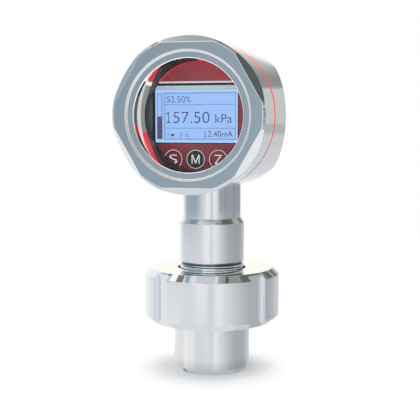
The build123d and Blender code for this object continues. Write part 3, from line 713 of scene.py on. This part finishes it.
def makeNeck(n):
    outline = [
        (n.bore, n.bottom),
        (n.spigot, n.bottom),
        (n.spigot, n.shoulder, 0.0),
        (n.radius, n.shoulder, 0.15),
        (n.radius, n.top, 0.1),
        (n.bore, n.top, 0.1),
    ]
    obj = turned("neckSkin", outline, onStem)
    dress(obj, [neckSkin], "transmitter", ["neck_tube"])


makeNeck(sizesOf(neck))
print("neck made")

# Rear housing: a drum with two slanted side flats
housing = dict(radius=41.9, front=-23.35, rear=38.0, rearEdge=1.2, spigotFront=-35.0, spigotRadius=38.2,
               cavityRadius=34.5, cavityRear=33.0, glandHole=8.05, flatStart=7.0, flatSlope=2.4,
               rearLand=1.6, cavityStep=2.5, sideWall=4.0, flatWall=4.5, softness=0.35)


def makeHousing(h):
    full = h.radius
    rear = h.rear
    narrow = full - (rear - h.flatStart) / h.flatSlope
    rimAngle = asin(min(1, (1 - (narrow / (full - h.rearEdge)) ** 2) ** 0.5))
    chamferX = full - (rear - h.rearEdge - h.flatStart) / h.flatSlope
    sideAngle = asin((1 - (chamferX / full) ** 2) ** 0.5)
    quarter = [radians(a) for a in range(45)] + [rimAngle, sideAngle]
    quarter += [sideAngle + (pi / 2 - sideAngle) * k / 28 for k in range(1, 29)]
    half = quarter + [pi - a for a in reversed(quarter[:-1])]
    angles = half + [pi + a for a in half[1:-1]]
    outlines = []
    for angle in angles:
        c = abs(cos(angle))
        slanted = c * full > chamferX - 1e-6
        flatY = h.flatStart + h.flatSlope * full * (1 - c)
        if slanted:
            side = (full, min(flatY, rear - h.rearEdge))
            rim = (min(narrow / c, full - h.rearEdge), rear)
        else:
            side = (full, rear - h.rearEdge)
            rim = (full - h.rearEdge, rear)
        outline = [
            (h.cavityRadius, h.spigotFront, 0.3),
            (h.spigotRadius, h.spigotFront, 0.4),
            (h.spigotRadius, h.front, 0.1),
            (full, h.front, 0.25),
            side + (h.softness,),
            rim + (h.softness,),
            (h.glandHole, rear),
            (h.glandHole, h.cavityRear - h.rearLand),
            (min(h.cavityRadius, (narrow - h.flatWall) / max(c, 0.01)), h.cavityRear - h.rearLand),
            (min(h.cavityRadius, (full - h.sideWall) / max(c, 0.01)),
             min(h.cavityRear - h.cavityStep, h.flatStart)),
        ]
        outlines.append(softenCorners(outline))
    obj = smoothOff(sweepOutlines("rearHousingSkin", outlines, onHead, angles), 24)
    dress(obj, [housingSide], "transmitter", ["rear_housing"])


makeHousing(sizesOf(housing))
print("rear housing made")

# Seal ring between cover and housing
seal = dict(front=-25.85, rear=-23.35, inner=38.5, outer=41.9)


def makeSeal(s):
    outline = [
        (s.inner, s.front, 0.1),
        (s.outer, s.front, 0.3),
        (s.outer, s.rear, 0.3),
        (s.inner, s.rear, 0.1),
    ]
    obj = turned("coverSealSkin", outline, onHead, steps=300)
    obj.visible_glossy = False
    dress(obj, [redRubber], "seal_ring", ["cover_seal"])


makeSeal(sizesOf(seal))
print("cover seal made")

# Front cover: a turned cap with six slanted facets
cover = dict(radius=41.9, front=-50.4, rear=-25.85, edge=1.2, facets=6, facetApothem=38.2, bore=38.5,
             retainerRear=-35.5, retainerRadius=36.05, glassRear=-41.5, glassRadius=34.55, lipRear=-47.3,
             windowRadius=29.9, windowEdge=0.5, stepFloor=-49.1, stepRadius=34.3, stepBevel=0.85,
             softness=0.3, rimSoftness=0.6)


def makeCover(c):
    full = c.radius
    rimRadius = full - c.edge
    cornerOut = asin((1 - (c.facetApothem / rimRadius) ** 2) ** 0.5)
    cornerIn = asin((1 - ((c.facetApothem + c.edge) / full) ** 2) ** 0.5)
    halfFacet = pi / c.facets
    side = [cornerIn * k / 20 for k in range(20)] + [cornerIn, cornerOut]
    side += [cornerOut + (halfFacet - cornerOut) * k / 7 for k in range(1, 8)]
    local = [-a for a in reversed(side[1:])] + side[:-1]
    soft = c.softness
    inside = [
        (full, c.rear, 0.25, 1),
        (c.bore, c.rear, 0.2, 1),
        (c.bore, c.retainerRear, 0.2, 1),
        (c.retainerRadius, c.retainerRear, 0.2, 1),
        (c.retainerRadius, c.glassRear, 0.0, 1),
        (c.glassRadius, c.glassRear, 0.0, 1),
        (c.glassRadius, c.lipRear, 0.0, 1),
        (c.windowRadius, c.lipRear, 0.15, 5),
        (c.windowRadius, c.stepFloor + c.windowEdge, 0.2, 4),
        (c.windowRadius + c.windowEdge, c.stepFloor, 0.25),
        (c.stepRadius - c.stepBevel, c.stepFloor, 0.3, 3),
    ]
    angles = []
    outlines = []
    for facet in range(c.facets):
        middle = halfFacet + 2 * halfFacet * facet
        for delta in local:
            k = cos(delta)
            if abs(delta) <= cornerIn + 1e-9:
                rim = (min(c.facetApothem / k, rimRadius), c.front)
                corner = (full, c.front + max(full * k - c.facetApothem, c.edge))
            else:
                rim = (rimRadius, c.front)
                corner = (full, c.front + c.edge)
            outline = [(c.stepRadius, c.front, soft, 0, 3), rim + (c.rimSoftness, 1, 2), corner + (soft, 1)]
            outlines.append(softenCorners(outline + inside))
            angles.append(middle + delta)
    obj = smoothOff(sweepOutlines("frontCoverSkin", outlines, onHead, angles), 24)
    finish = [coverFace, coverSide, coverEdge, stepEdge, windowRim, ringMirror]
    dress(obj, finish, "cover", ["front_cover"])


makeCover(sizesOf(cover))
print("front cover made")

# What lies behind the window
window = dict(radius=29.9, glassRadius=34.5, gasketFront=-47.3, gasketRear=-46.5, glassRear=-41.5,
              retainerRadius=36.0, retainerRear=-35.5, shroudInner=29.8, shroudOuter=34.2, shroudRear=-24.3)


def makeWindow(w):
    gasket = turned("windowGasketSkin", [
        (w.radius + 0.1, w.gasketFront, 0.1),
        (w.glassRadius, w.gasketFront, 0.1),
        (w.glassRadius, w.gasketRear, 0.1),
        (w.radius + 0.1, w.gasketRear, 0.25, 1),
    ], onHead)
    dress(gasket, [blackRubber, ringMirror], "cover", ["window_gasket"])
    glass = turned("windowGlassSkin", [
        (0.0, w.gasketRear, 0.0),
        (w.glassRadius, w.gasketRear, 0.3),
        (w.glassRadius, w.glassRear, 0.3),
        (0.0, w.glassRear, 0.0),
    ], onHead, closed=False)
    dress(glass, [windowClear], "cover", ["window_glass"])
    retainer = turned("glassRetainerSkin", [
        (w.radius, w.glassRear, 0.3),
        (w.retainerRadius, w.glassRear, 0.1, 1),
        (w.retainerRadius, w.retainerRear, 0.2, 1),
        (w.radius, w.retainerRear, 0.4),
    ], onHead)
    dress(retainer, [ringMirror, innerSteel], "cover", ["glass_retainer"])
    shroud = turned("windowShroudSkin", [
        (w.shroudInner, w.retainerRear, 1.2, 1),
        (w.shroudOuter, w.retainerRear),
        (w.shroudOuter, w.shroudRear, 0.3),
        (w.shroudInner, w.shroudRear, 0.3, 1),
    ], onHead)
    dress(shroud, [shroudGloss, ringMirror], "cover", ["window_shroud"])


makeWindow(sizesOf(window))
print("window made")

# Printing on the display and the keys
printing = dict(front=-23.8, lift=0.04, labelFront=-24.0, shift=-2.6, keyDrop=23.7, keySpacing=12.9,
                ringRadius=5.15, ringWidth=0.28, fieldWidth=0.36, lineWidth=0.27, flagWidth=0.22,
                letter=(2.3, 2.6, 2.5))
inkDepth = 0.03

# outlines in a unit square: the square itself, a one with its foot, and an M
squareOutline = [(0, 0), (1, 0), (1, 1), (0, 1)]
oneOutline = [(0.12, 0.0), (1.0, 0.0), (1.0, 0.09), (0.65, 0.09), (0.65, 1.0), (0.5, 1.0), (0.04, 0.84),
              (0.04, 0.73), (0.47, 0.86), (0.47, 0.09), (0.12, 0.09)]
emOutline = [(0.0, 0.0), (0.0, 1.0), (0.15, 1.0), (0.5, 0.25), (0.85, 1.0), (1.0, 1.0), (1.0, 0.0),
             (0.89, 0.0), (0.89, 0.8), (0.55, 0.05), (0.45, 0.05), (0.11, 0.8), (0.11, 0.0)]


def cutShape(name, outline, box, front, material, body, slot):
    # a flat shape from an outline in a unit square, set into a box (x from, x to, z from, z to)
    x0, x1, z0, z1 = box
    verts = []
    for y in (front, front + inkDepth):
        verts += [(x0 + (x1 - x0) * u, y, headZ + z0 + (z1 - z0) * v) for u, v in outline]
    count = len(outline)
    faces = [tuple(range(count)), tuple(range(2 * count - 1, count - 1, -1))]
    faces += [(k, count + k, count + (k + 1) % count, (k + 1) % count) for k in range(count)]
    obj = newObject(name, verts, faces)
    obj.visible_glossy = False
    dress(obj, [material], body)


def printedLoop(name, inner, outer, front, material, body, slot):
    # a flat band between two closed lines of (x, z) points
    verts = []
    for (x0, z0), (x1, z1) in zip(inner, outer):
        verts += [(x0, front, headZ + z0), (x1, front, headZ + z1),
                  (x1, front + inkDepth, headZ + z1), (x0, front + inkDepth, headZ + z0)]
    return dress(newObject(name, verts, quads(len(inner), 4)), [material], body)


def outlineBox(name, box, width, *finish):
    x0, x1, z0, z1 = box
    outer, inner = ([(x0 + inset, z0 + inset), (x1 - inset, z0 + inset), (x1 - inset, z1 - inset),
                     (x0 + inset, z1 - inset)] for inset in (0, width))
    obj = printedLoop(name, inner, outer, *finish)
    obj.visible_glossy = False


def printedRing(name, centre, radius, width, *finish):
    angles = [2 * pi * i / 96 for i in range(96)]
    inner, outer = ([(centre[0] + r * cos(a), centre[1] + r * sin(a)) for a in angles]
                    for r in (radius - width, radius))
    printedLoop(name, inner, outer, *finish)


def lettering(name, words, box, front, material, body, slot, weight=0.0):
    # words set into a box on a face that looks along -Y
    curve = bpy.data.curves.new(name, "FONT")
    curve.body = words
    curve.size = 1.0
    curve.offset = weight
    curve.resolution_u = 6
    temp = addObject(name + "Curve", curve)
    graph = bpy.context.evaluated_depsgraph_get()
    mesh = bpy.data.meshes.new_from_object(temp.evaluated_get(graph))
    bpy.data.objects.remove(temp)
    xs = [v.co.x for v in mesh.vertices]
    zs = [v.co.y for v in mesh.vertices]
    x0, x1, z0, z1 = box
    wide = (x1 - x0) / (max(xs) - min(xs))
    tall = (z1 - z0) / (max(zs) - min(zs))
    for v in mesh.vertices:
        x = x0 + (v.co.x - min(xs)) * wide
        z = z0 + (v.co.y - min(zs)) * tall
        v.co = Vector((x / 1000, front / 1000, (headZ + z) / 1000))
    work = bmesh.new()
    work.from_mesh(mesh)
    moved = bmesh.ops.extrude_face_region(work, geom=work.faces[:])
    for item in moved["geom"]:
        if isinstance(item, bmesh.types.BMVert):
            item.co.y += inkDepth / 1000
    bmesh.ops.recalc_face_normals(work, faces=work.faces)
    work.to_mesh(mesh)
    work.free()
    mesh.name = name
    obj = addObject(name, mesh)
    obj.visible_glossy = False
    dress(obj, [material], body)


def makePrinting(p):
    front = p.front - p.lift
    line = p.lineWidth
    ink = (front, inkNavy, "transmitter", "display_glass")
    outlineBox("barFrame", (-24.9, -21.9, -12.57, 12.3), line, *ink)
    cutShape("barFill", squareOutline, (-24.75, -22.05, -12.3, -0.13), front, inkBar, *ink[2:])
    outlineBox("pageFrame", (-20.5, 20.1, -12.76, 12.7), line, *ink)
    cutShape("upperLine", squareOutline, (-20.3, 19.9, 6.26, 6.48), *ink)
    cutShape("lowerLine", squareOutline, (-20.3, 19.9, -6.75, -6.53), *ink)
    lettering("percentValue", "52.50%", (-19.2, -5.4, 7.5, 10.9), *ink, -0.008)
    cutShape("mainOne", oneOutline, (-19.6, -17.1, -3.8, 2.35), *ink)
    lettering("mainValue", "57.50", (-15.5, 5.3, -3.8, 2.35), *ink, -0.012)
    lettering("unitName", "kPa", (8.6, 17.9, -3.7, 0.9), *ink, -0.006)
    cutShape("loopOne", oneOutline, (2.0, 3.5, -11.3, -8.2), *ink)
    lettering("loopValue", "2.40mA", (4.4, 18.4, -11.3, -8.2), *ink, -0.004)
    cutShape("firstMark", oneOutline, (-19.0, -17.9, -11.2, -9.2), *ink)
    cutShape("firstFlag", squareOutline, (-16.7, -15.2, -11.1, -9.7), *ink)
    lettering("secondMark", "2", (-11.7, -10.4, -11.2, -9.2), *ink)
    outlineBox("secondFlag", (-8.4, -6.9, -11.2, -9.7), p.flagWidth, *ink)
    face = p.labelFront - p.lift
    label = ("transmitter", "red_label")
    centres = [(p.shift + p.keySpacing * k, -p.keyDrop) for k in (-1, 0, 1)]
    for name, centre in zip(("leftRing", "middleRing", "rightRing"), centres):
        printedRing(name, centre, p.ringRadius, p.ringWidth, face, printWhite, *label)
    printedRing("middleField", centres[1], p.ringRadius - p.ringWidth, p.fieldWidth, face, keyDark, *label)
    half, down, up = p.letter
    left, middle, right = [(x - half, x + half, z - down, z + up) for x, z in centres]
    lettering("keyLetterS", "S", left, face, printWhite, "left_key", "red_key", -0.01)
    cutShape("keyLetterM", emOutline, middle, face, printWhite, "middle_key", "dark_key")
    lettering("keyLetterZ", "Z", right, face, printWhite, "right_key", "red_key", -0.01)


makePrinting(sizesOf(printing))
print("printing made")

# Finishes of the solids
finishes = [
    (innerSteel, "process_connector isolating_diaphragm sensor_cell cell_retainer board_posts"),
    (innerSteel, "glass_retainer"),
    (blackRubber, "process_seal cell_seal connector_seal window_gasket"),
    (blackPlastic, "display_carrier key_switches board_components board_header connector_insert"),
    (whitePlastic, "lead_plug terminal_block"), (leadJacket, "sensor_lead connector_wires"),
    (platedBrass, "cell_pins display_pillars contact_pins"), (connectorSteel, "connector_shell"),
    (screwSteel, "display_screws board_screws connector_nut"), (keyRed, "key_s key_z"), (keyDark, "key_m"),
    (boardGreen, "amplifier_board display_board main_board"), (filmRed, "label_plate"),
    (displayFrame, "lcd_frame"), (displayGlow, "lcd_glass"), (windowClear, "window_glass"),
    (sleeveSkin, "weld_sleeve"), (nutSkin, "union_nut"), (bodySkin, "sensor_body"), (neckSkin, "neck_tube"),
    (housingSide, "rear_housing"), (redRubber, "cover_seal"), (coverSide, "front_cover"),
    (shroudGloss, "window_shroud"),
]
dressed = 0
for finish, names in finishes:
    for solid in (nodes[name] for name in names.split()):
        if not solid.material_slots:
            solid.data.materials.append(finish)
        for place in solid.material_slots:
            place.material = finish
        dressed += 1
print("solids dressed:", dressed)

# Studio: a round pale floor, a soft lamp overhead and soft panels all round
floorLook = dict(radius=0.6, steps=128, dark=0.62, light=0.64, glow=0.365)


def makeFloor(f):
    turns = [2 * pi * i / f.steps for i in range(f.steps)]
    rim = 1000 * f.radius
    verts = [(0, 0, 0)] + [(rim * cos(a), rim * sin(a), 0) for a in turns]
    faces = [(0, i + 1, (i + 1) % f.steps + 1) for i in range(f.steps)]
    floor = newObject("floorDisc", verts, faces)
    material, tree, shader, place, grain = startMaterial("paleFloor", 60)
    tone = mixColour(tree, grain["Clouds"], 3 * (f.dark,) + (1,), 3 * (f.light,) + (1,))
    fill(tree, shader, baseColor=tone, roughness=0.9, specularIorLevel=0.0,
         emissionColor=(1, 1, 1, 1), emissionStrength=f.glow)
    floor.data.materials.append(material)
    floor.visible_glossy = False


makeFloor(sizesOf(floorLook))

lamp = dict(size=1.6, height=1.5, toRight=0.14, energy=26.5)


def makeLamp(s):
    data = bpy.data.lights.new("overheadLamp", "AREA")
    data.shape = "DISK"
    data.size = s.size
    data.energy = s.energy
    obj = addObject("overheadLamp", data)
    obj.location = (s.toRight, 0, s.height)
    obj.visible_glossy = False


makeLamp(sizesOf(lamp))

# each panel: azimuth and elevation range in degrees, softness, screen colour; +X is azimuth 0
panels = [
    ("left high", (100, 262), (6, 70), (14, 8), (236, 238, 240)),
    ("left blue", (150, 206), (9, 44), (14, 6), (152, 170, 184)),
    ("left deep blue", (172, 208), (38, 51), (8, 3), (118, 142, 158)),
    ("left dark band", (152, 164), (45, 51), (5, 2), (110, 116, 118)),
    ("left white band", (140, 176), (51, 57), (8, 2), (246, 247, 248)),
    ("left grey band", (150, 190), (57, 64), (8, 2), (112, 118, 120)),
    ("left dim", (-172, -108), (1, 25), (12, 7), (150, 164, 174)),
    ("right high", (-62, 96), (9.2, 64), (8, 0.8), (138, 140, 139)),
    ("right dark", (-44, 20), (16, 58), (10, 6), (88, 92, 92)),
    ("right upper", (0, 100), (38, 63), (8, 3), (98, 100, 97)),
    ("right pale block", (26, 58), (24, 40), (8, 3), (172, 170, 164)),
    ("right behind dark", (60, 92), (16, 34), (5, 2), (100, 102, 99)),
    ("right thin light", (70, 74), (15, 30), (2, 2), (160, 160, 156)),
    ("top grey", (-20, 110), (64, 84), (20, 2), (142, 142, 139)),
    ("top dark line", (-20, 110), (77, 81), (20, 2), (112, 112, 110)),
    ("behind right fade", (90, 118), (11.6, 30), (9, 1), (184, 184, 182)),
    ("behind white", (95, 150), (2, 11.6), (5, 3), (241, 238, 233)),
    ("behind low", (74, 104), (-18, -5.5), (6, 1), (205, 207, 210)),
    ("right low", (20, 104), (-62, -24), (10, 4), (196, 199, 201)),
    ("behind side", (40, 94), (-5.5, 9.0), (8, 0.8), (192, 193, 193)),
    ("right wall", (-32, 68), (-30, -8.4), (80, 1.2), (168, 172, 175)),
    ("right wall body", (-34, 70), (-8.8, -5.6), (60, 0.8), (154, 159, 163)),
    ("right wall neck", (-48, 80), (-5.8, -2.4), (15, 1), (150, 155, 159)),
    ("right line", (21, 27), (-8.8, -2.4), (4, 1), (134, 139, 143)),
    ("neck line", (-22, -18), (-5.8, -2.4), (3, 1), (134, 139, 143)),
    ("right light", (-46, -26), (-1.8, 8), (8, 1), (236, 238, 240)),
    ("right after", (-22, 46), (-1.8, 8), (6, 1), (144, 147, 149)),
    ("far left", (100, 156), (-13, 6), (12, 3), (238, 237, 236)),
    ("horizon left", (155, 240), (-6.1, 7), (50, 0.4), (153, 166, 176)),
    ("left body", (156, 250), (-8.8, -6.1), (20, 0.4), (214, 215, 218)),
    ("nut left", (158, 182), (-12.2, -8.8), (14, 1), (226, 228, 231)),
    ("corner grey", (163, 177), (-56, -33), (4, 2), (152, 168, 180)),
    ("cream", (-176, -132), (-24, -12.2), (18, 1), (236, 231, 228)),
    ("cream line", (-165, -158), (-24, -12.2), (3, 1), (250, 245, 244)),
    ("sleeve front", (-128, -72), (-20, -12.2), (8, 1), (212, 214, 218)),
    ("nut warm streak", (-129, -119), (-12.2, -8.8), (5, 1), (228, 227, 224)),
    ("front strip", (-103, -82), (-12.2, -5.6), (7, 1), (235, 236, 238)),
    ("front strip neck", (-97, -82), (-5.6, 2), (7, 1), (235, 236, 238)),
    ("front gap", (-80, -72), (-13, 2), (4, 2), (204, 208, 211)),
    ("thin strip", (-69, -57), (-30, 2), (5, 2), (232, 231, 232)),
]


def makeWorld(items, strength=1.15):
    world = bpy.data.worlds.new("studio")
    bpy.context.scene.world = world
    world.use_nodes = True
    tree = world.node_tree
    tree.nodes.clear()
    x, y, z = split(tree, addNode(tree, "TexCoord").outputs["Generated"])
    elevation = doMath(tree, "MULTIPLY", doMath(tree, "ARCSINE", z), 180 / pi)
    azimuth = doMath(tree, "MULTIPLY", doMath(tree, "ARCTAN2", y, x), 180 / pi)

    def fade(low, high, first, second):
        return mixColour(tree, remap(tree, elevation, low, high, smooth=True), first, second)

    def within(offset, low, high, soft):
        half = (high - low) / 2
        return remap(tree, offset, half - soft / 2, half + soft / 2, 1, 0, True)

    # the room from the zenith down: grey, light walls, pale floor
    above = fade(8, 60, fromScreen(214, 217, 219), fromScreen(160, 164, 163))
    below = fade(-49, -41, fromScreen(212, 215, 219), fromScreen(232, 233, 235))
    below = fade(-20, -12, below, fromScreen(222, 224, 227))
    tone = fade(-7, -2, below, above)
    for name, (azLow, azHigh), (elLow, elHigh), (azSoft, elSoft), colour in items:
        turn = doMath(tree, "SUBTRACT", azimuth, (azLow + azHigh) / 2)
        turn = doMath(tree, "ABSOLUTE", doMath(tree, "WRAP", turn, 180.0, -180.0))
        rise = distance(tree, elevation, (elLow + elHigh) / 2)
        mask = doMath(tree, "MULTIPLY", within(turn, azLow, azHigh, azSoft),
                      within(rise, elLow, elHigh, elSoft))
        tone = mixColour(tree, mask, tone, fromScreen(*colour))
    # the panels light the piece and show in it, and the camera sees plain white behind it
    panelLight = addNode(tree, "Background", color=tone, strength=strength).outputs[0]
    backdrop = addNode(tree, "Background", color=(1, 1, 1, 1), strength=1.0).outputs[0]
    seen = addNode(tree, "LightPath").outputs["Is Camera Ray"]
    blend = addNode(tree, "MixShader", at0=seen, at1=panelLight, at2=backdrop).outputs[0]
    addNode(tree, "OutputWorld", surface=blend)


makeWorld(panels)
bpy.context.scene.view_settings.view_transform = "Standard"
print("studio ready")

# Camera at the photograph's angle
shot = dict(place=(0.13878, -0.51174, 0.14162), tilt=84.674, turn=15.287, lens=78.68)


def makeCamera(s):
    data = bpy.data.cameras.new("photoCamera")
    data.lens = s.lens
    data.sensor_width = 36
    obj = addObject("photoCamera", data)
    obj.location = s.place
    obj.rotation_euler = (radians(s.tilt), 0, radians(s.turn))
    bpy.context.scene.camera = obj


makeCamera(sizesOf(shot))
